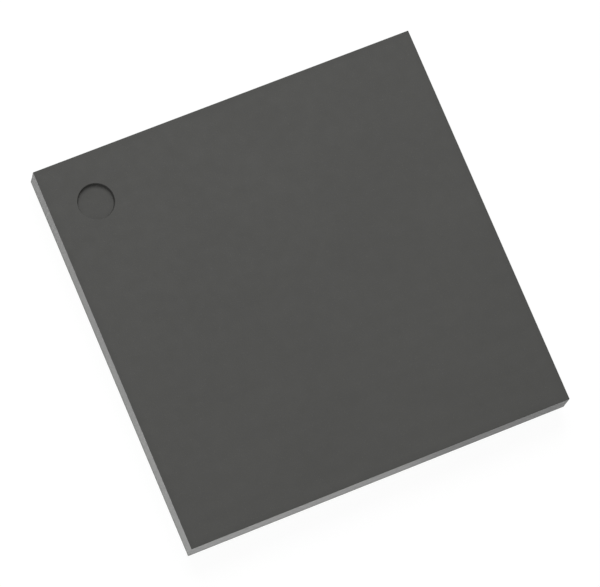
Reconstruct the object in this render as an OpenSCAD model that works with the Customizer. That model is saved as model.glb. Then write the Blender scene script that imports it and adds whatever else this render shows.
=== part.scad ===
// Moulded ball grid array chip, wire-bonded inside, standing on its solder balls.
// Millimetres, +Z up. The origin is the middle of the plane that the ball tips stand on.
// Seen from above, ball A1 and the pin one mark are at the -X +Y corner, rows run
// towards -Y and columns towards +X.

/* [Ball grid] */
// Balls along one side of the full square grid, an even number
balls_per_side = 12; // [10:2:14]
// Distance between neighbouring balls
ball_pitch = 1.0; // [0.9:0.05:1.2]
// Diameter of a solder ball after reflow
ball_d = 0.5; // [0.44:0.01:0.56]
// Opening in the solder mask that a ball is soldered into
land_open_d = 0.4; // [0.3:0.01:0.42]
// Distance from the outermost ball centres to the sawn side of the body
edge_margin = 1.0; // [0.9:0.05:1.5]

/* [Moulded cap] */
// Height of the moulded compound above the top solder mask
mold_h = 0.9; // [0.75:0.05:1.2]
// Diameter of the round pin one mark
pin1_d = 1.2; // [0.8:0.05:1.5]
// Depth of the pin one mark
pin1_depth = 0.16; // [0.05:0.01:0.25]
// Draft that lets the mark leave the mould, in degrees
pin1_draft = 8; // [0:1:15]
// Distance from the -X side to the middle of the mark
pin1_inset_x = 1.5; // [1:0.05:2]
// Distance from the +Y side to the middle of the mark
pin1_inset_y = 1.6; // [1:0.05:2]

/* [Die] */
// Side of the square silicon die
die_w = 6.2; // [5:0.1:6.4]
// Thickness of the ground die
die_h = 0.28; // [0.15:0.01:0.35]
// Thickness of the adhesive film under the die
film_h = 0.03; // [0.02:0.005:0.06]
// Distance from the die's side to the row of bond pads
pad_inset = 0.08; // [0.05:0.01:0.15]
// Distance from the die's corner to the first bond pad, along the side
pad_corner = 0.3; // [0.15:0.05:0.6]

/* [Bond wires] */
// Diameter of the gold wire
wire_d = 0.025; // [0.02:0.001:0.033]
// Diameter of the ball bond on the die
ball_bond_d = 0.06; // [0.05:0.001:0.08]
// Height of the ball bond
ball_bond_h = 0.015; // [0.01:0.001:0.02]
// Straight rise of the wire above the ball bond
wire_rise = 0.11; // [0.06:0.01:0.18]
// Radius that the wire's centre line turns through at the top of the loop
wire_bend_r = 0.06; // [0.04:0.005:0.1]
// Length of the stitch that ends the wire on its finger
stitch_l = 0.08; // [0.05:0.01:0.12]
// Width of the stitch
stitch_w = 0.04; // [0.03:0.005:0.06]
// Thickness of the stitch
stitch_h = 0.01; // [0.006:0.001:0.012]

/* [Substrate] */
// Thickness of the laminate core
core_h = 0.2; // [0.15:0.01:0.3]
// Thickness of the solder mask on the top of the laminate
mask_top_h = 0.03; // [0.025:0.005:0.04]
// Distance from the underside of the laminate to the face of the mask over the copper
mask_bottom_h = 0.04; // [0.03:0.005:0.05]
// How far the mask's face is sunk between the lands, where no copper lifts it
mask_dip = 0.008; // [0.005:0.001:0.01]
// How far the raised face over a land reaches past the copper's edge
mask_lap = 0.02; // [0.01:0.005:0.03]
// Thickness of the copper on both sides
copper_h = 0.02; // [0.012:0.001:0.022]
// Length of a bond finger, which points along its wire
finger_l = 0.34; // [0.25:0.01:0.4]
// Width of a bond finger
finger_w = 0.1; // [0.07:0.005:0.12]
// Clear distance at the corner between two sides' fingers
finger_corner = 0.2; // [0.15:0.01:0.4]
// Clear distance between the fingers' ends and the edge of their window in the mask
window_gap = 0.05; // [0.03:0.01:0.07]

/* [Copper lands and vias] */
// Diameter of the round copper land behind each ball
land_d = 0.5; // [0.46:0.01:0.55]
// Width of the copper neck from the land to its via
neck_w = 0.12; // [0.08:0.01:0.16]
// Diameter of the copper land round a via
via_land_d = 0.28; // [0.24:0.01:0.3]
// Diameter of the drilled via hole
via_hole_d = 0.18; // [0.15:0.01:0.2]
// Thickness of the copper plated in the via hole
via_wall = 0.02; // [0.015:0.001:0.025]
// Side of the triangular mark at the A1 corner of the underside
a1_mark_w = 0.32; // [0.25:0.01:0.36]
// Distance from the mark to the sawn sides
a1_mark_inset = 0.1; // [0.06:0.01:0.15]
// Width of the mask's rim over the mark's edge
a1_mark_lip = 0.03; // [0.02:0.005:0.04]

/* [Hidden] */
// Row letters as ball grids use them, without I and O
ROW_LETTERS = "abcdefghjklmnp";
SIDES = ["north", "east", "south", "west"];

// The body follows the ball grid
body_w = (balls_per_side - 1) * ball_pitch + 2 * edge_margin;
grid_half = (balls_per_side - 1) / 2;

// A reflowed ball is a sphere that the mask opening cuts
ball_r = ball_d / 2;
ball_sunk = sqrt(pow(ball_r, 2) - pow(land_open_d / 2, 2));
stand_off = ball_r + ball_sunk;

// Thickness of the bottom mask over the copper
mask_skin_h = mask_bottom_h - copper_h;

// Heights of the layers above the plane that the balls stand on
core_z = stand_off + mask_bottom_h;
core_top = core_z + core_h;
land_z = core_z - copper_h;
copper_top = core_top + copper_h;
mask_top = core_top + mask_top_h;
body_top = mask_top + mold_h;
die_top = mask_top + film_h + die_h;

// Each side of the die bonds a quarter of the balls
wires_per_side = pow(balls_per_side / 2, 2);
mid_wire = (wires_per_side - 1) / 2;
// The finger ring lies between the second and third rows of vias
finger_ring = (balls_per_side / 2 - 1.5) * ball_pitch;
window_half = finger_l / 2 + window_gap;
finger_pitch = (finger_ring - finger_l / 2 - finger_corner) / mid_wire;
pad_line = die_w / 2 - pad_inset;
pad_pitch = (die_w / 2 - pad_corner) / mid_wire;
wire_run_y = finger_ring - pad_line;

// The wires fan out from the close pads to the wider fingers
function wire_fan(i) = (i - mid_wire) * (finger_pitch - pad_pitch);
function wire_angle(i) = atan2(wire_run_y, wire_fan(i));

// Facets on small round things
$fn = 48;

// ---- small helpers ----

// A slab of the body's outline between two heights
module body_slab(z, h) {
    translate([-body_w / 2, -body_w / 2, z])
        cube([body_w, body_w, h]);
}

// A square ring between two half widths
module square_ring(outer, inner, z, h) {
    translate([0, 0, z])
        linear_extrude(h)
            difference() {
                square(2 * outer, center = true);
                square(2 * inner, center = true);
            }
}

// Puts the children at every ball of the grid; $out is the way to the nearest corner
module at_balls() {
    for (r = [0 : balls_per_side - 1])
        at_row(r) children();
}

module at_row(r) {
    for (c = [0 : balls_per_side - 1]) {
        $out = [c < grid_half ? -1 : 1, r < grid_half ? 1 : -1];
        translate([(c - grid_half) * ball_pitch, (grid_half - r) * ball_pitch, 0])
            children();
    }
}

// Puts the children at every via, half a pitch out from its ball towards the corner
module at_vias() {
    at_balls()
        translate([$out[0] * ball_pitch / 2, $out[1] * ball_pitch / 2, 0])
            children();
}

// Turns the children from the +Y side to one of the four sides
module on_side(side) {
    rotate([0, 0, -90 * side])
        children();
}

// ---- moulded cap ----

// The pin one mark is a round dimple with a drafted wall
module pin1_mark() {
    spare = 0.1;
    grow = tan(pin1_draft);
    translate([pin1_inset_x - body_w / 2, body_w / 2 - pin1_inset_y, body_top - pin1_depth])
        cylinder(
            h = pin1_depth + spare,
            d1 = pin1_d - 2 * pin1_depth * grow,
            d2 = pin1_d + 2 * spare * grow
        );
}

module mold_cap() {
    color([0.33, 0.33, 0.32])
        difference() {
            union() {
                body_slab(mask_top, mold_h);
                finger_window();
            }
            pin1_mark();
            die_shape();
            film_shape();
            for (side = [0 : 3]) {
                finger_shapes(side);
                wire_shapes(side);
            }
        }
}

// ---- die and film ----

module die_shape() {
    translate([-die_w / 2, -die_w / 2, die_top - die_h])
        cube([die_w, die_w, die_h]);
}

// The film is diced with its die
module film_shape() {
    translate([-die_w / 2, -die_w / 2, mask_top])
        cube([die_w, die_w, film_h]);
}

module silicon_die() {
    color([0.42, 0.44, 0.5])
        die_shape();
}

module die_attach_film() {
    color([0.75, 0.72, 0.62])
        film_shape();
}

// ---- bond wires ----

// One wire from its pad at the origin out along +X: ball bond, rise, bend, span and stitch.
// The span leaves the bend along its tangent and comes down on the stitch. The slope is a
// whole number of hundredths of a degree, so that bend and straights meet on one circle,
// and the rise and the bend each start from the die's height, so that they meet on one plane.
module bond_wire(run) {
    wire_r = wire_d / 2;
    rise = ball_bond_h + wire_rise;
    fall = rise + die_top - copper_top - wire_r;
    reach = run - wire_bend_r;
    tangent = atan2(fall, reach) + asin(wire_bend_r / norm([fall, reach]));
    slope = round(tangent * 100) / 100;
    span = (reach - wire_bend_r * sin(slope)) / cos(slope);
    translate([0, 0, die_top])
        cylinder(h = ball_bond_h, d = ball_bond_d);
    translate([0, 0, die_top])
        cylinder(h = rise, d = wire_d);
    translate([wire_bend_r, 0, die_top + rise])
        rotate([90, 0, 0])
            rotate([0, 0, 90 - slope]) {
                rotate_extrude(angle = 90 + slope)
                    translate([wire_bend_r, 0])
                        circle(d = wire_d);
                translate([wire_bend_r, 0, 0])
                    rotate([90, 0, 0])
                        cylinder(h = span, d = wire_d);
            }
    translate([run - stitch_l / 2, -stitch_w / 2, copper_top])
        cube([stitch_l, stitch_w, stitch_h]);
}

// One side's wires, each put at its pad and turned towards its finger
module wire_shapes(side) {
    on_side(side)
        for (i = [0 : wires_per_side - 1])
            translate([(i - mid_wire) * pad_pitch, pad_line, 0])
                rotate([0, 0, wire_angle(i)])
                    bond_wire(norm([wire_fan(i), wire_run_y]));
}

module bond_wires(side) {
    color([0.9, 0.72, 0.3])
        wire_shapes(side);
}

// ---- bond fingers ----

// Each finger points along its wire, with the stitch in its middle
module finger_shapes(side) {
    on_side(side)
        for (i = [0 : wires_per_side - 1])
            translate([(i - mid_wire) * finger_pitch, finger_ring, core_top])
                rotate([0, 0, wire_angle(i)])
                    linear_extrude(copper_h)
                        stadium(finger_l, finger_w);
}

// A rectangle with round ends, along X
module stadium(length, width) {
    straight = length - width;
    square([straight, width], center = true);
    for (end = [-1, 1])
        translate([end * straight / 2, 0])
            circle(d = width);
}

module bond_fingers(side) {
    color([0.88, 0.7, 0.34])
        finger_shapes(side);
}

// The ring that the top mask leaves open round the fingers, down to the laminate
module finger_window() {
    square_ring(finger_ring + window_half, finger_ring - window_half, core_top, mask_top_h);
}

// ---- laminate, masks and vias ----

module laminate_core() {
    color([0.53, 0.53, 0.5])
        difference() {
            body_slab(core_z, core_h);
            at_vias()
                translate([0, 0, land_z])
                    cylinder(h = copper_top - land_z, d = via_hole_d);
        }
}

module top_solder_mask() {
    color([0.08, 0.25, 0.13])
        difference() {
            body_slab(core_top, mask_top_h);
            finger_window();
            at_vias()
                translate([0, 0, core_top])
                    cylinder(h = copper_h, d = via_land_d);
        }
}

// A plated barrel with its land on the top of the laminate
module via_barrels() {
    color([0.72, 0.45, 0.28])
        at_vias()
            difference() {
                union() {
                    translate([0, 0, land_z])
                        cylinder(h = copper_top - land_z, d = via_hole_d);
                    translate([0, 0, core_top])
                        cylinder(h = copper_h, d = via_land_d);
                }
                translate([0, 0, land_z])
                    cylinder(h = copper_top - land_z, d = via_hole_d - 2 * via_wall);
            }
}

// Resin that fills each barrel
module via_plugs() {
    color([0.85, 0.84, 0.78])
        at_vias()
            translate([0, 0, land_z])
                cylinder(h = copper_top - land_z, d = via_hole_d - 2 * via_wall);
}

// Copper under one ball, grown by a margin: the round land, the via's land and their neck
module land_outline(margin) {
    circle(d = land_d + 2 * margin);
    translate([$out[0] * ball_pitch / 2, $out[1] * ball_pitch / 2])
        circle(d = via_land_d + 2 * margin);
    rotate([0, 0, atan2($out[1], $out[0])])
        translate([0, -neck_w / 2 - margin])
            square([ball_pitch / sqrt(2), neck_w + 2 * margin]);
}

module ball_lands() {
    color([0.72, 0.45, 0.28])
        at_balls()
            translate([0, 0, land_z])
                linear_extrude(copper_h)
                    difference() {
                        land_outline(0);
                        translate([$out[0] * ball_pitch / 2, $out[1] * ball_pitch / 2])
                            circle(d = via_hole_d);
                    }
}

// The triangle at the A1 corner, in from the sawn sides by inset
module a1_outline(inset) {
    leg = a1_mark_w - (inset - a1_mark_inset) * (2 + sqrt(2));
    translate([inset - body_w / 2, body_w / 2 - inset])
        polygon([[0, 0], [leg, 0], [0, -leg]]);
}

module a1_corner_mark() {
    color([0.88, 0.7, 0.34])
        translate([0, 0, land_z])
            linear_extrude(copper_h)
                a1_outline(a1_mark_inset);
}

// The mask's raised face over the copper, sunk into the mask by half the copper's thickness
module mask_relief() {
    translate([0, 0, stand_off]) {
        at_balls()
            linear_extrude(mask_dip + copper_h / 2)
                land_outline(mask_lap);
        linear_extrude(mask_dip + copper_h / 2)
            a1_outline(a1_mark_inset - mask_lap);
    }
}

module bottom_solder_mask() {
    color([0.08, 0.25, 0.13])
        difference() {
            union() {
                body_slab(stand_off + mask_dip, mask_bottom_h - mask_dip);
                mask_relief();
            }
            at_balls() {
                translate([0, 0, stand_off])
                    cylinder(h = mask_skin_h, d = land_open_d);
                translate([0, 0, land_z])
                    linear_extrude(copper_h)
                        land_outline(0);
            }
            translate([0, 0, land_z])
                linear_extrude(copper_h)
                    a1_outline(a1_mark_inset);
            translate([0, 0, stand_off])
                linear_extrude(mask_skin_h)
                    a1_outline(a1_mark_inset + a1_mark_lip);
        }
}

// ---- solder balls ----

// A sphere standing on the plane, cut flat by the mask, with a neck down its opening
module solder_ball() {
    intersection() {
        translate([0, 0, ball_r])
            sphere(d = ball_d);
        translate([-ball_d, -ball_d, -ball_d])
            cube([2 * ball_d, 2 * ball_d, ball_d + stand_off]);
    }
    translate([0, 0, stand_off])
        cylinder(h = mask_skin_h, d = land_open_d);
}

module ball_row(r) {
    color([0.76, 0.77, 0.78])
        at_row(r)
            solder_ball();
}

// ---- nodes ----

mold_cap();
silicon_die();
die_attach_film();
for (side = [0 : 3]) {
    bond_wires(side);
    bond_fingers(side);
}
top_solder_mask();
laminate_core();
via_barrels();
via_plugs();
ball_lands();
a1_corner_mark();
bottom_solder_mask();
for (r = [0 : balls_per_side - 1])
    ball_row(r);
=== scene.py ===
"""Looks of a moulded ball grid array chip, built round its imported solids. Lengths are in metres."""
import math

import bmesh
import bpy
from mathutils import Matrix, Vector


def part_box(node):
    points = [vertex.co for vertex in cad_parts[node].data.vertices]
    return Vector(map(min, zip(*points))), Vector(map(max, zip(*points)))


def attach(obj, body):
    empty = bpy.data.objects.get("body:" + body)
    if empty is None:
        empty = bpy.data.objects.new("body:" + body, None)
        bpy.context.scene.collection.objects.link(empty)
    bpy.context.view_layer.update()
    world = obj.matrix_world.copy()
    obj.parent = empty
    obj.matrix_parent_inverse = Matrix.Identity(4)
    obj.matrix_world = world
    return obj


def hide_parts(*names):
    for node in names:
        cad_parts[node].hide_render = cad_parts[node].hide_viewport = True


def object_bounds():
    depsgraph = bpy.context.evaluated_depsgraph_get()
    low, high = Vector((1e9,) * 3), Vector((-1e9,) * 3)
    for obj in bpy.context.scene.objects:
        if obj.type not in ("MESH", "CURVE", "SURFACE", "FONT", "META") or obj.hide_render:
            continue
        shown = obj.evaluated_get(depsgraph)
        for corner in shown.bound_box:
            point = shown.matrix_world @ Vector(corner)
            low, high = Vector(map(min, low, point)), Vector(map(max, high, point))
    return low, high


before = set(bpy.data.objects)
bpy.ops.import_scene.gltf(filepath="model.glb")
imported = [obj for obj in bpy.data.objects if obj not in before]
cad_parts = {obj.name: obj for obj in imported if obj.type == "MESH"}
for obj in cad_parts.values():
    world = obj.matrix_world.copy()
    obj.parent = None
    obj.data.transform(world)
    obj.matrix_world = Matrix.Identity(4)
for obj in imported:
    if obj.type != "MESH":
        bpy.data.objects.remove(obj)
cad_low, cad_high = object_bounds()

# ---- Camera ----
# A long lens looks down on the chip from its -X -Y side, a little rolled, with the pin one
# corner at the left. Its distance follows the body, so that the chip fills the view.

MM = 0.001
body_half = cad_high.x
body_w = 2 * body_half
body_top = cad_high.z

VIEW_AZIMUTH = math.radians(-48.386)
VIEW_ELEVATION = math.radians(74.86)
VIEW_ROLL = math.radians(26.152)
VIEW_DISTANCE = 11.425 * body_w
VIEW_AIM = Vector((-0.01111 * body_w, -0.01637 * body_w, body_top))
VIEW_LENS = 282.57

view_back = Vector((
    math.sin(VIEW_AZIMUTH) * math.cos(VIEW_ELEVATION),
    -math.cos(VIEW_AZIMUTH) * math.cos(VIEW_ELEVATION),
    math.sin(VIEW_ELEVATION),
))
camera_data = bpy.data.cameras.new("camera")
camera_data.lens = VIEW_LENS
camera_data.sensor_width = 36.0
camera_data.clip_start = 0.005
camera_data.clip_end = 10.0
camera = bpy.data.objects.new("camera", camera_data)
camera.rotation_mode = "QUATERNION"
camera.location = VIEW_AIM + view_back * VIEW_DISTANCE
level = (-view_back).to_track_quat("-Z", "Y").to_matrix().to_4x4()
camera.rotation_quaternion = (level @ Matrix.Rotation(VIEW_ROLL, 4, "Z")).to_quaternion()
bpy.context.scene.collection.objects.link(camera)
bpy.context.scene.camera = camera
bpy.context.scene.view_settings.view_transform = "Standard"

# ---- Floor and light ----
# A plain white table with a white world round it and soft lamps. The table keeps the chip's soft
# shadow, and the camera and mirror rays see it as clean white. From below it can be seen through,
# and a lamp under it lights the balls.


def new_material(name):
    """An empty node material, with its tree and its output node."""
    material = bpy.data.materials.new(name)
    material.use_nodes = True
    tree = material.node_tree
    tree.nodes.clear()
    return material, tree, tree.nodes.new("ShaderNodeOutputMaterial")


def add_node(tree, kind, values=None, **settings):
    """One node of a tree. values gives its sockets a constant or another node's output."""
    node = tree.nodes.new(kind)
    for name, value in settings.items():
        setattr(node, name, value)
    for socket, value in (values or {}).items():
        if isinstance(value, bpy.types.NodeSocket):
            tree.links.new(value, node.inputs[socket])
        else:
            node.inputs[socket].default_value = value
    return node


def math_node(tree, operation, *values, clamp=False):
    """The output of one Math node."""
    inputs = dict(enumerate(values))
    return add_node(tree, "ShaderNodeMath", inputs, operation=operation, use_clamp=clamp).outputs[0]


def seen_directly(tree):
    """One for the rays that show the background: the camera's, and those off metal or through glass."""
    path = add_node(tree, "ShaderNodeLightPath")
    glossy, clear = path.outputs["Is Glossy Ray"], path.outputs["Is Transmission Ray"]
    indirect = math_node(tree, "MAXIMUM", glossy, clear)
    return math_node(tree, "MAXIMUM", path.outputs["Is Camera Ray"], indirect)


FLOOR_W = 1.2
FLOOR_WHITE = (0.8, 0.8, 0.8, 1)
FLOOR_SHOWN = (0.08, 0.08, 0.08, 1)
FLOOR_LIFT = 0.95

floor_material, tree, output = new_material("floor_white")
lit = add_node(tree, "ShaderNodeBsdfDiffuse", {"Color": FLOOR_WHITE})
shown = add_node(tree, "ShaderNodeBsdfDiffuse", {"Color": FLOOR_SHOWN})
lift = add_node(tree, "ShaderNodeEmission", {"Strength": FLOOR_LIFT})
lifted = add_node(tree, "ShaderNodeAddShader", {0: shown.outputs[0], 1: lift.outputs[0]})
mixed = add_node(
    tree, "ShaderNodeMixShader", {0: seen_directly(tree), 1: lit.outputs[0], 2: lifted.outputs[0]}
)
behind = add_node(tree, "ShaderNodeNewGeometry").outputs["Backfacing"]
shadow_ray = add_node(tree, "ShaderNodeLightPath").outputs["Is Shadow Ray"]
clear = add_node(tree, "ShaderNodeBsdfTransparent")
floor_shader = add_node(
    tree,
    "ShaderNodeMixShader",
    {0: math_node(tree, "MAXIMUM", behind, shadow_ray), 1: mixed.outputs[0], 2: clear.outputs[0]},
)
tree.links.new(floor_shader.outputs[0], output.inputs["Surface"])

floor_mesh = bpy.data.meshes.new("floor")
floor_mesh.from_pydata(
    [(x * FLOOR_W / 2, y * FLOOR_W / 2, cad_low.z) for x, y in ((-1, -1), (1, -1), (1, 1), (-1, 1))],
    [],
    [(0, 1, 2, 3)],
)
floor_mesh.materials.append(floor_material)
floor = bpy.data.objects.new("floor", floor_mesh)
bpy.context.scene.collection.objects.link(floor)

WORLD_LIGHT = 0.34
world = bpy.data.worlds.new("world")
bpy.context.scene.world = world
world.use_nodes = True
tree = world.node_tree
tree.nodes.clear()
strength = add_node(
    tree, "ShaderNodeMix", {0: seen_directly(tree), 2: WORLD_LIGHT, 3: 1.0}, data_type="FLOAT"
)
background = add_node(tree, "ShaderNodeBackground", {"Strength": strength.outputs[0]})
output = add_node(tree, "ShaderNodeOutputWorld", {"Surface": background.outputs[0]})


def soft_lamp(name, place, size, power):
    """A square soft box that faces the chip."""
    data = bpy.data.lights.new(name, "AREA")
    data.shape = "SQUARE"
    data.size = size
    data.energy = power
    lamp = bpy.data.objects.new(name, data)
    lamp.location = place
    lamp.rotation_mode = "QUATERNION"
    lamp.rotation_quaternion = (-Vector(place)).to_track_quat("-Z", "Y")
    bpy.context.scene.collection.objects.link(lamp)


# The first hangs a little behind the chip, so that the top is lightest along its far side. The
# second stands low off the -X -Y corner, and the third lies under the table.
soft_lamp("overhead_lamp", (0.006, 0.048, 0.085), 0.06, 0.070)
soft_lamp("side_lamp", (-0.028, -0.026, 0.006), 0.012, 0.0030)
soft_lamp("lower_lamp", (0.0, 0.0, -0.08), 0.04, 0.045)

# ---- Moulded cap ----
# A block of black epoxy filled with silica, transfer moulded over the die and its wires. The
# mould gives the top its fine matt skin and the round pin one mark; the four sides are sawn.


def value_socket(group, name, default, kind="NodeSocketFloat"):
    """An input of a node group, with the value it has where nothing is plugged in."""
    group.interface.new_socket(name, in_out="INPUT", socket_type=kind).default_value = default


def position_group():
    """Where a surface point is, in millimetres of the chip's own frame."""
    group = bpy.data.node_groups.new("Position in mm", "ShaderNodeTree")
    group.interface.new_socket("Position", in_out="OUTPUT", socket_type="NodeSocketVector")
    place = add_node(group, "ShaderNodeTexCoord")
    scaled = add_node(
        group, "ShaderNodeVectorMath", {0: place.outputs["Object"], 3: 1 / MM}, operation="SCALE"
    )
    add_node(group, "NodeGroupOutput", {0: scaled.outputs[0]})
    return group


def grain_group(position):
    """Noise of a chosen fineness along each axis, in turns per millimetre, spread about a half."""
    group = bpy.data.node_groups.new("Grain", "ShaderNodeTree")
    value_socket(group, "Fineness", (1, 1, 1), "NodeSocketVector")
    value_socket(group, "Depth", 3)
    group.interface.new_socket("Value", in_out="OUTPUT", socket_type="NodeSocketFloat")
    given = add_node(group, "NodeGroupInput")
    place = add_node(group, "ShaderNodeGroup", node_tree=position)
    stretched = add_node(
        group,
        "ShaderNodeVectorMath",
        {0: place.outputs[0], 1: given.outputs["Fineness"]},
        operation="MULTIPLY",
    )
    noise = add_node(
        group,
        "ShaderNodeTexNoise",
        {"Vector": stretched.outputs[0], "Scale": 1.0, "Detail": given.outputs["Depth"]},
    )
    add_node(group, "NodeGroupOutput", {0: noise.outputs["Fac"]})
    return group


SPECK_EDGE = 12.0


def specks_group(position):
    """Round specks of filler: their number per millimetre, and how much of each cell they fill."""
    group = bpy.data.node_groups.new("Filler specks", "ShaderNodeTree")
    value_socket(group, "Per mm", 20)
    value_socket(group, "Fill", 0.3)
    group.interface.new_socket("Mask", in_out="OUTPUT", socket_type="NodeSocketFloat")
    given = add_node(group, "NodeGroupInput")
    place = add_node(group, "ShaderNodeGroup", node_tree=position)
    cells = add_node(
        group, "ShaderNodeTexVoronoi", {"Vector": place.outputs[0], "Scale": given.outputs["Per mm"]}
    )
    shade = add_node(group, "ShaderNodeSeparateColor", {0: cells.outputs["Color"]})
    radius = math_node(group, "MULTIPLY", given.outputs["Fill"], shade.outputs[0])
    mask = math_node(group, "SUBTRACT", radius, cells.outputs["Distance"])
    sharp = math_node(group, "MULTIPLY", mask, SPECK_EDGE, clamp=True)
    add_node(group, "NodeGroupOutput", {0: sharp})
    return group


def edge_group(position):
    """One at the sawn outline of the body, falling to nothing over the given width in millimetres."""
    group = bpy.data.node_groups.new("Rim of the body", "ShaderNodeTree")
    value_socket(group, "Half width", 6.5)
    value_socket(group, "Rim width", 0.1)
    group.interface.new_socket("Mask", in_out="OUTPUT", socket_type="NodeSocketFloat")
    given = add_node(group, "NodeGroupInput")
    place = add_node(group, "ShaderNodeGroup", node_tree=position)
    axes = add_node(group, "ShaderNodeSeparateXYZ", {0: place.outputs[0]})
    along_x, along_y = (math_node(group, "ABSOLUTE", axes.outputs[i]) for i in (0, 1))
    across = math_node(group, "MAXIMUM", along_x, along_y)
    inward = math_node(group, "SUBTRACT", given.outputs["Half width"], across)
    share = math_node(group, "DIVIDE", inward, given.outputs["Rim width"])
    mask = math_node(group, "SUBTRACT", 1.0, share, clamp=True)
    add_node(group, "NodeGroupOutput", {0: mask})
    return group


POSITION = position_group()
GRAIN = grain_group(POSITION)
SPECKS = specks_group(POSITION)
RIM = edge_group(POSITION)


def grain(tree, fineness, depth=3.0):
    """Grain in a material, from a fineness for all axes or one for each."""
    fineness = fineness if isinstance(fineness, tuple) else (fineness,) * 3
    values = {"Fineness": fineness, "Depth": depth}
    return add_node(tree, "ShaderNodeGroup", values, node_tree=GRAIN).outputs[0]


def specks(tree, per_mm, fill):
    """Specks of filler in a material."""
    values = {"Per mm": per_mm, "Fill": fill}
    return add_node(tree, "ShaderNodeGroup", values, node_tree=SPECKS).outputs[0]


def rim(tree, width):
    """The body's sawn outline in a material, over a width in millimetres."""
    values = {"Half width": body_half / MM, "Rim width": width}
    return add_node(tree, "ShaderNodeGroup", values, node_tree=RIM).outputs[0]


def swing(tree, value, low, high):
    """Spreads a mask or a grain between two numbers."""
    limits = {"Value": value, "To Min": low, "To Max": high}
    return add_node(tree, "ShaderNodeMapRange", limits).outputs[0]


def mix_colors(tree, share, low, high):
    """From the low colour to the high one, by a share between nothing and one."""
    return add_node(tree, "ShaderNodeMix", {0: share, 6: low, 7: high}, data_type="RGBA").outputs[2]


def shaded(tree, color, value):
    """A colour made lighter or darker by a factor that changes over the surface."""
    return add_node(tree, "ShaderNodeVectorMath", {0: color, 1: value}, operation="MULTIPLY").outputs[0]


def bumped(tree, height, depth):
    """A normal from a height map whose full swing is depth millimetres."""
    values = {"Height": height, "Distance": depth * MM, "Strength": 1.0}
    return add_node(tree, "ShaderNodeBump", values).outputs[0]


def finish_surface(tree, output, **values):
    """A Principled surface whose sockets are named in plain words."""
    names = {
        "color": "Base Color", "roughness": "Roughness", "metal": "Metallic",
        "normal": "Normal", "specular": "Specular IOR Level",
    }
    shader = add_node(tree, "ShaderNodeBsdfPrincipled", {names[k]: v for k, v in values.items()})
    tree.links.new(shader.outputs[0], output.inputs["Surface"])


# Shades of the moulded skin and of the sawn compound, and the painted shade on the drafted wall of its
# mark
SKIN_DARK = (0.060, 0.060, 0.057, 1)
SKIN_LIGHT = (0.074, 0.074, 0.070, 1)
PAINTED_WALL_SHADE = 0.62
SAWN_DARK = (0.135, 0.135, 0.131, 1)
SAWN_LIGHT = (0.180, 0.180, 0.175, 1)
FILLER = (0.24, 0.24, 0.23, 1)
MARK_DEPTH = 0.16 * MM

skin_material, tree, output = new_material("moulded_skin")
clouds = grain(tree, 0.35, 2.0)
streaks = grain(tree, (0.12, 2.2, 1.0), 2.0)
share = math_node(tree, "MULTIPLY_ADD", streaks, 0.3, math_node(tree, "MULTIPLY", clouds, 0.7))
skin = mix_colors(tree, share, SKIN_DARK, SKIN_LIGHT)
fine = grain(tree, 26.0, 4.0)
skin = mix_colors(tree, math_node(tree, "MULTIPLY", specks(tree, 16.0, 0.26), 0.10), skin, FILLER)
skin = shaded(tree, skin, swing(tree, fine, 0.90, 1.10))
skin = shaded(tree, skin, swing(tree, rim(tree, 0.25), 1.0, 0.93))
# Painted shade: faces that stand up from the top, such as the wall of the mark, are darker the further
# they turn from facing up
upright = add_node(tree, "ShaderNodeNewGeometry").outputs["True Normal"]
upright = add_node(tree, "ShaderNodeSeparateXYZ", {0: upright}).outputs[2]
skin = shaded(tree, skin, swing(tree, upright, PAINTED_WALL_SHADE, 1.0))
coarse = math_node(tree, "MULTIPLY", grain(tree, 9.0, 2.0), 0.4)
finish_surface(
    tree,
    output,
    color=skin,
    roughness=swing(tree, grain(tree, 3.0), 0.56, 0.70),
    specular=0.25,
    normal=bumped(tree, math_node(tree, "MULTIPLY_ADD", fine, 0.6, coarse), 0.004),
)


# Painted shade on the far part of the -Y side: how far it reaches in over the side and along X,
# in millimetres, and how much it darkens the colour and lowers the shine there
SIDE_SHADE_DEPTH = 0.05
SIDE_SHADE_FADE = 100.0
SIDE_SHADE_FROM = 0.6
SIDE_SHADE_TO = 2.4
SIDE_SHADE_FACTOR = 0.60
SIDE_SHADE_SPECULAR = 0.28
SAWN_SPECULAR = 0.5


def side_shade_group(position):
    """Painted shade: one over the far part of the -Y side, where the colour is darkened and the shine
    lowered.
    """
    group = bpy.data.node_groups.new("Painted side shade", "ShaderNodeTree")
    value_socket(group, "Half width", 6.5)
    group.interface.new_socket("Mask", in_out="OUTPUT", socket_type="NodeSocketFloat")
    given = add_node(group, "NodeGroupInput")
    place = add_node(group, "ShaderNodeGroup", node_tree=position)
    axes = add_node(group, "ShaderNodeSeparateXYZ", {0: place.outputs[0]})
    inward = math_node(group, "ADD", axes.outputs[1], given.outputs["Half width"])
    front = math_node(group, "SUBTRACT", SIDE_SHADE_DEPTH, inward)
    front = math_node(group, "MULTIPLY", front, SIDE_SHADE_FADE, clamp=True)
    ramp = add_node(
        group,
        "ShaderNodeMapRange",
        {"Value": axes.outputs[0], "From Min": SIDE_SHADE_FROM, "From Max": SIDE_SHADE_TO},
        interpolation_type="SMOOTHSTEP",
    )
    add_node(group, "NodeGroupOutput", {0: math_node(group, "MULTIPLY", front, ramp.outputs[0])})
    return group


SIDE_SHADE = side_shade_group(POSITION)


def painted_side_shade(tree, unshaded_value, shaded_value):
    """A value that goes from unshaded to shaded across the painted shade on the far part of the -Y
    side.
    """
    values = {"Half width": body_half / MM}
    shade_share = add_node(tree, "ShaderNodeGroup", values, node_tree=SIDE_SHADE).outputs[0]
    return swing(tree, shade_share, unshaded_value, shaded_value)


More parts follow.
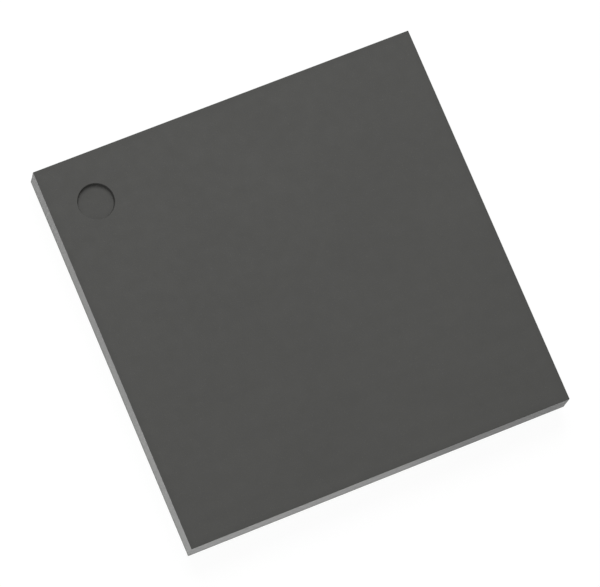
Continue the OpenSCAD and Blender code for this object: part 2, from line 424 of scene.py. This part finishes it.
sawn_material, tree, output = new_material("sawn_compound")
lines = grain(tree, (0.5, 0.5, 55.0), 3.0)
sawn = mix_colors(tree, grain(tree, 1.2), SAWN_DARK, SAWN_LIGHT)
sawn = shaded(tree, sawn, swing(tree, lines, 0.86, 1.14))
sawn = mix_colors(tree, math_node(tree, "MULTIPLY", specks(tree, 22.0, 0.42), 0.35), sawn, FILLER)
# Painted shade: the far part of the -Y side is darkened here, and its shine is lowered below
sawn = shaded(tree, sawn, painted_side_shade(tree, 1.0, SIDE_SHADE_FACTOR))
finish_surface(
    tree,
    output,
    color=sawn,
    roughness=swing(tree, lines, 0.42, 0.58),
    specular=painted_side_shade(tree, SAWN_SPECULAR, SIDE_SHADE_SPECULAR),
    normal=bumped(tree, lines, 0.003),
)


def square_outline(half, radius, z, steps):
    """A square loop with round corners, counter-clockwise seen from above."""
    points = []
    for corner in range(4):
        middle = Vector((half - radius, half - radius, 0))
        for step in range(steps + 1):
            angle = math.radians(90 * step / steps)
            edge = middle + radius * Vector((math.cos(angle), math.sin(angle), 0))
            points.append(Matrix.Rotation(math.radians(90 * corner), 3, "Z") @ edge + Vector((0, 0, z)))
    return points


def circle_outline(centre, radius, z, steps):
    """A round loop, counter-clockwise seen from above."""
    return [
        Vector((
            centre[0] + radius * math.cos(2 * math.pi * step / steps),
            centre[1] + radius * math.sin(2 * math.pi * step / steps),
            z,
        ))
        for step in range(steps)
    ]


def add_loop(mesh, points):
    """A loop of new vertices at the given points."""
    return [mesh.verts.new(point) for point in points]


def bridge(mesh, lower, upper, slot=0, smooth=False):
    """Quads between two loops with the same number of points."""
    count = len(lower)
    for i in range(count):
        j = (i + 1) % count
        face = mesh.faces.new((lower[i], lower[j], upper[j], upper[i]))
        face.material_index = slot
        face.smooth = smooth


def loop_edges(mesh, loop):
    """The edges of a loop, made where they are missing."""
    return [
        mesh.edges.get((loop[i - 1], loop[i])) or mesh.edges.new((loop[i - 1], loop[i]))
        for i in range(len(loop))
    ]


def fill_between(mesh, outer, inner, up):
    """A flat face inside the outer loop, with the inner loop as its hole, facing up or down."""
    edges = loop_edges(mesh, outer) + loop_edges(mesh, inner)
    made = bmesh.ops.triangle_fill(mesh, use_beauty=True, edges=edges)["geom"]
    for face in made:
        if isinstance(face, bmesh.types.BMFace) and (face.normal.z > 0) != up:
            face.normal_flip()


def cap(mesh, loop, up):
    """Closes a loop with one flat face, facing up or down."""
    face = mesh.faces.new(loop)
    face.normal_update()
    if (face.normal.z > 0) != up:
        face.normal_flip()


def make_piece(mesh, name, materials):
    """Turns a bmesh into a piece of the chip that rides on its only body."""
    data = bpy.data.meshes.new(name)
    mesh.to_mesh(data)
    mesh.free()
    for material in materials:
        data.materials.append(material)
    piece = bpy.data.objects.new(name, data)
    bpy.context.scene.collection.objects.link(piece)
    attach(piece, "root")
    return piece


# The mark's place on the top, and the small radii that a moulded and sawn block really has
MARK_INSET = (1.5 * MM, 1.6 * MM)
MARK_R = 0.6 * MM
MARK_DRAFT = math.radians(8)
MARK_FLOOR_R = 0.03 * MM
MARK_FILLET_STEPS = 5
SAWN_EDGE = 0.006 * MM
mark_centre = (-body_half + MARK_INSET[0], body_half - MARK_INSET[1])

mask_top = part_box("top_solder_mask")[1].z
finger_low, finger_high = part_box("bond_fingers_north")
die_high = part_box("silicon_die")[1]
WINDOW_GAP = 0.05 * MM
core_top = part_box("laminate_core")[1].z
window_outer = finger_high.y + WINDOW_GAP
window_inner = finger_low.y - WINDOW_GAP


def mark_profile():
    """Radius and depth down the mark: its lip, its drafted wall, the fillet and the flat floor."""
    profile = [(MARK_R, 0.0)]
    foot_r = MARK_R - MARK_DEPTH * math.tan(MARK_DRAFT)
    profile.append((foot_r + MARK_FLOOR_R * math.tan(MARK_DRAFT), MARK_DEPTH - MARK_FLOOR_R))
    for step in range(1, MARK_FILLET_STEPS + 1):
        angle = math.radians(90 * step / MARK_FILLET_STEPS)
        profile.append((
            foot_r - MARK_FLOOR_R * (1 - math.cos(angle)),
            MARK_DEPTH - MARK_FLOOR_R * (1 - math.sin(angle)),
        ))
    return profile


mesh = bmesh.new()
MARK_STEPS = 128
CORNER_STEPS = 3
foot = add_loop(mesh, square_outline(body_half, SAWN_EDGE, mask_top, CORNER_STEPS))
brow = add_loop(mesh, square_outline(body_half, SAWN_EDGE, body_top - SAWN_EDGE, CORNER_STEPS))
crown = add_loop(mesh, square_outline(body_half - SAWN_EDGE, SAWN_EDGE / 2, body_top, CORNER_STEPS))
bridge(mesh, foot, brow, slot=1)
bridge(mesh, brow, crown, slot=1)
rings = [
    add_loop(mesh, circle_outline(mark_centre, r, body_top - z, MARK_STEPS)) for r, z in mark_profile()
]
fill_between(mesh, crown, rings[0], up=True)
for upper, lower in zip(rings, rings[1:]):
    bridge(mesh, upper, lower, smooth=True)
cap(mesh, rings[-1], up=True)
# The underside steps down into the finger window and up round the die
steps = [
    (window_outer, mask_top), (window_outer, core_top),
    (window_inner, core_top), (window_inner, mask_top),
    (die_high.x, mask_top), (die_high.x, die_high.z),
]
squares = [
    add_loop(mesh, [Vector((x * half, y * half, z)) for x, y in ((1, 1), (-1, 1), (-1, -1), (1, -1))])
    for half, z in steps
]
fill_between(mesh, foot, squares[0], up=False)
for outer, inner in zip(squares, squares[1:]):
    bridge(mesh, outer, inner)
cap(mesh, squares[-1], up=False)
bmesh.ops.recalc_face_normals(mesh, faces=mesh.faces)
moulded_cap = make_piece(mesh, "moulded_cap", [skin_material, sawn_material])
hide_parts("mold_cap")


def dress(node, material):
    """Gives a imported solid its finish, in every material slot it has."""
    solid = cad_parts[node]
    if not solid.material_slots:
        solid.data.materials.append(material)
    for slot in solid.material_slots:
        slot.material = material


# ---- Laminate and solder mask ----
# The substrate is woven glass in resin, with a skin of green solder mask on both faces. It is
# sawn through with the mould, so its glass layers and the two thin lines of mask show at the side.
# The mask lies over the etched copper like paint, and looks lighter there.

GLASS_LIGHT = (0.160, 0.158, 0.148, 1)
GLASS_DARK = (0.098, 0.097, 0.090, 1)

laminate_material, tree, output = new_material("sawn_laminate")
bundles = grain(tree, (2.5, 2.5, 22.0), 2.0)
fibres = grain(tree, (9.0, 9.0, 70.0), 3.0)
glass = mix_colors(tree, bundles, GLASS_DARK, GLASS_LIGHT)
glass = shaded(tree, glass, swing(tree, fibres, 0.84, 1.16))
# Painted shade: the far part of the -Y side is darkened and its shine lowered, as on the compound
glass = shaded(tree, glass, painted_side_shade(tree, 1.0, SIDE_SHADE_FACTOR))
finish_surface(
    tree,
    output,
    color=glass,
    roughness=swing(tree, fibres, 0.45, 0.62),
    specular=painted_side_shade(tree, SAWN_SPECULAR, SIDE_SHADE_SPECULAR),
    normal=bumped(tree, fibres, 0.003),
)
dress("laminate_core", laminate_material)

MASK_DEEP = (0.006, 0.060, 0.026, 1)
MASK_THIN = (0.012, 0.095, 0.040, 1)
MASK_ON_COPPER = (0.030, 0.160, 0.058, 1)
MASK_SAWN = (0.120, 0.160, 0.132, 1)
# The copper's sizes under the mask, in millimetres, and how sharply the mask shows its edge
LAND_R = 0.25
VIA_LAND_R = 0.14
NECK_HALF = 0.06
MASK_LAP = 0.012
COPPER_EDGE = 45.0

row_names = sorted(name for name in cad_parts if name.startswith("ball_row_"))
first_low, first_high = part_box(row_names[0])
last_low, last_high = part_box(row_names[-1])
balls_per_side = len(row_names)
first_y = (first_low.y + first_high.y) / 2
last_y = (last_low.y + last_high.y) / 2
ball_pitch = (first_y - last_y) / (balls_per_side - 1)
ball_r = (first_high.y - first_low.y) / 2


def copper_group(position):
    """Where copper lies under the mask: lands at the balls, vias half a pitch further out, necks."""
    group = bpy.data.node_groups.new("Copper under the mask", "ShaderNodeTree")
    value_socket(group, "Pitch", 1.0)
    group.interface.new_socket("Mask", in_out="OUTPUT", socket_type="NodeSocketFloat")
    given = add_node(group, "NodeGroupInput").outputs["Pitch"]
    place = add_node(group, "ShaderNodeGroup", node_tree=position)
    axes = add_node(group, "ShaderNodeSeparateXYZ", {0: place.outputs[0]})
    far = [math_node(group, "ABSOLUTE", axes.outputs[i]) for i in (0, 1)]
    cells = [math_node(group, "DIVIDE", distance, given) for distance in far]
    parts = [math_node(group, "FRACT", cell) for cell in cells]

    def within(reach, offset):
        """One where an offset is under the reach and its lap, with a soft edge."""
        inside = math_node(group, "SUBTRACT", reach + MASK_LAP, offset)
        return math_node(group, "MULTIPLY_ADD", inside, COPPER_EDGE, 0.5, clamp=True)

    def spot(offsets, radius):
        """A disc of the given radius round the point that the two offsets are measured from."""
        across = add_node(group, "ShaderNodeCombineXYZ", {0: offsets[0], 1: offsets[1]}).outputs[0]
        length = add_node(group, "ShaderNodeVectorMath", {0: across}, operation="LENGTH")
        return within(radius, math_node(group, "MULTIPLY", length.outputs["Value"], given))

    land = spot([math_node(group, "SUBTRACT", part, 0.5) for part in parts], LAND_R)
    nearest = [math_node(group, "MAXIMUM", math_node(group, "ROUND", cell), 1.0) for cell in cells]
    via = spot([math_node(group, "SUBTRACT", a, b) for a, b in zip(cells, nearest)], VIA_LAND_R)
    aslant = math_node(group, "ABSOLUTE", math_node(group, "SUBTRACT", parts[0], parts[1]))
    aslant = math_node(group, "MULTIPLY", math_node(group, "MULTIPLY", aslant, given), math.sqrt(0.5))
    outward = math_node(group, "GREATER_THAN", math_node(group, "ADD", parts[0], parts[1]), 1.0)
    neck = math_node(group, "MULTIPLY", within(NECK_HALF, aslant), outward)
    limit = math_node(group, "MAXIMUM", cells[0], cells[1])
    inside = math_node(group, "LESS_THAN", limit, balls_per_side / 2)
    grid = math_node(group, "MULTIPLY", math_node(group, "MAXIMUM", land, neck), inside)
    add_node(group, "NodeGroupOutput", {0: math_node(group, "MAXIMUM", grid, via)})
    return group


COPPER_UNDER = copper_group(POSITION)


def mask_material(name, over_copper):
    """Solder mask: a smooth glassy skin with a faint flow in it, and dull where it is sawn."""
    material, tree, output = new_material(name)
    flow = grain(tree, 0.6, 3.0)
    skin = mix_colors(tree, flow, MASK_DEEP, MASK_THIN)
    height = grain(tree, 1.6)
    if over_copper:
        values = {"Pitch": ball_pitch / MM}
        copper = add_node(tree, "ShaderNodeGroup", values, node_tree=COPPER_UNDER).outputs[0]
        skin = mix_colors(tree, copper, skin, MASK_ON_COPPER)
        height = math_node(tree, "MULTIPLY_ADD", copper, 0.5, height)
    skin = shaded(tree, skin, swing(tree, grain(tree, 14.0), 0.92, 1.08))
    normal = add_node(tree, "ShaderNodeNewGeometry").outputs["True Normal"]
    flat = math_node(tree, "ABSOLUTE", add_node(tree, "ShaderNodeSeparateXYZ", {0: normal}).outputs[2])
    sawn = math_node(tree, "MULTIPLY", math_node(tree, "SUBTRACT", 1.0, flat), rim(tree, 0.01))
    # Painted shade: the sawn mask is darkened on the far part of the -Y side
    color = mix_colors(tree, sawn, skin, shaded(tree, MASK_SAWN[:3], painted_side_shade(tree, 1.0, SIDE_SHADE_FACTOR)))
    finish_surface(
        tree,
        output,
        color=color,
        roughness=math_node(tree, "MULTIPLY_ADD", sawn, 0.2, swing(tree, flow, 0.24, 0.36)),
        specular=0.5,
        normal=bumped(tree, height, 0.006),
    )
    return material


dress("top_solder_mask", mask_material("top_mask", over_copper=False))
dress("bottom_solder_mask", mask_material("bottom_mask", over_copper=True))

# ---- A1 corner mark ----
# A bare triangle of copper, plated with nickel and a thin flash of gold, that shows ball A1's
# corner from below.

GOLD_DARK = (0.70, 0.48, 0.17, 1)
GOLD_LIGHT = (0.86, 0.63, 0.26, 1)


def metal_material(name, dark, light, low, high, fineness):
    """A metal with a soft mottle in its colour and its shine."""
    material, tree, output = new_material(name)
    mottle = grain(tree, fineness, 3.0)
    finish_surface(
        tree,
        output,
        color=mix_colors(tree, mottle, dark, light),
        metal=1.0,
        roughness=swing(tree, grain(tree, 2.3 * fineness), low, high),
        normal=bumped(tree, mottle, 0.002),
    )
    return material


gold_material = metal_material("plated_gold", GOLD_DARK, GOLD_LIGHT, 0.24, 0.40, 12.0)
dress("a1_corner_mark", gold_material)

# ---- Solder balls ----
# Tin, silver and copper solder, reflowed on its land: a sphere that the mask's opening cuts
# off, with the frosted, mottled skin that this alloy freezes to.

SOLDER_DARK = (0.50, 0.50, 0.50, 1)
SOLDER_LIGHT = (0.74, 0.74, 0.73, 1)

solder_material, tree, output = new_material("reflowed_solder")
patches = add_node(
    tree,
    "ShaderNodeTexVoronoi",
    {"Vector": add_node(tree, "ShaderNodeGroup", node_tree=POSITION).outputs[0], "Scale": 13.0},
    feature="SMOOTH_F1",
)
frost = math_node(tree, "MULTIPLY", patches.outputs["Distance"], grain(tree, 34.0, 4.0))
frost = math_node(tree, "MULTIPLY", frost, 2.6, clamp=True)
finish_surface(
    tree,
    output,
    color=mix_colors(tree, frost, SOLDER_LIGHT, SOLDER_DARK),
    metal=1.0,
    roughness=swing(tree, frost, 0.22, 0.46),
    normal=bumped(tree, grain(tree, 30.0, 3.0), 0.004),
)

BALL_STEPS = 40
BALL_RINGS = 20
OPENING_R = 0.2 * MM
stand_off = ball_r + math.sqrt(ball_r ** 2 - OPENING_R ** 2)
neck_top = first_high.z


def grid_middle(index):
    """Place of a ball's row or column along its axis."""
    return (index - (balls_per_side - 1) / 2) * ball_pitch


def ball_profile():
    """Radius and height from just off the tip, up the sphere to the mask and in at the opening."""
    cut = math.acos((stand_off - ball_r) / ball_r)
    turns = [math.pi - (math.pi - cut) * (ring + 1) / BALL_RINGS for ring in range(BALL_RINGS)]
    return [(ball_r * math.sin(a), ball_r + ball_r * math.cos(a)) for a in turns]


for row, name in enumerate(row_names):
    mesh = bmesh.new()
    for column in range(balls_per_side):
        centre = (grid_middle(column), -grid_middle(row))
        rings = [add_loop(mesh, circle_outline(centre, r, z, BALL_STEPS)) for r, z in ball_profile()]
        tip = mesh.verts.new((centre[0], centre[1], cad_low.z))
        for i in range(BALL_STEPS):
            mesh.faces.new((tip, rings[0][i - 1], rings[0][i])).smooth = True
        for lower, upper in zip(rings, rings[1:]):
            bridge(mesh, lower, upper, smooth=True)
        neck = add_loop(mesh, circle_outline(centre, OPENING_R, neck_top, BALL_STEPS))
        bridge(mesh, rings[-1], neck)
        cap(mesh, neck, up=True)
    bmesh.ops.recalc_face_normals(mesh, faces=mesh.faces)
    balls = make_piece(mesh, name.replace("ball_row", "solder_balls"), [solder_material])
    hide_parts(name)

# ---- Inside the mould ----
# Sealed in the compound: the ground silicon die on its film, gold wires from its pads to the
# plated fingers, and the copper lands, barrels and resin plugs of the laminate.

silicon_material = metal_material(
    "ground_silicon", (0.10, 0.11, 0.13, 1), (0.16, 0.17, 0.20, 1), 0.18, 0.34, 3.0
)
wire_material = metal_material(
    "gold_wire", (0.78, 0.52, 0.16, 1), (0.92, 0.68, 0.28, 1), 0.12, 0.24, 20.0
)
copper_material = metal_material(
    "etched_copper", (0.48, 0.20, 0.10, 1), (0.66, 0.32, 0.18, 1), 0.30, 0.50, 10.0
)


def resin_material(name, dark, light):
    """A cured resin, faintly clouded."""
    material, tree, output = new_material(name)
    finish_surface(
        tree,
        output,
        color=mix_colors(tree, grain(tree, 8.0), dark, light),
        roughness=swing(tree, grain(tree, 3.0), 0.4, 0.6),
        normal=bumped(tree, grain(tree, 12.0), 0.002),
    )
    return material


film_material = resin_material("adhesive_film", (0.42, 0.38, 0.28, 1), (0.55, 0.50, 0.38, 1))
plug_material = resin_material("plug_resin", (0.55, 0.53, 0.45, 1), (0.70, 0.68, 0.60, 1))

dress("silicon_die", silicon_material)
dress("die_attach_film", film_material)
for side in ("north", "east", "south", "west"):
    dress(f"bond_wires_{side}", wire_material)
    dress(f"bond_fingers_{side}", gold_material)
dress("via_barrels", copper_material)
dress("ball_lands", copper_material)
dress("via_plugs", plug_material)
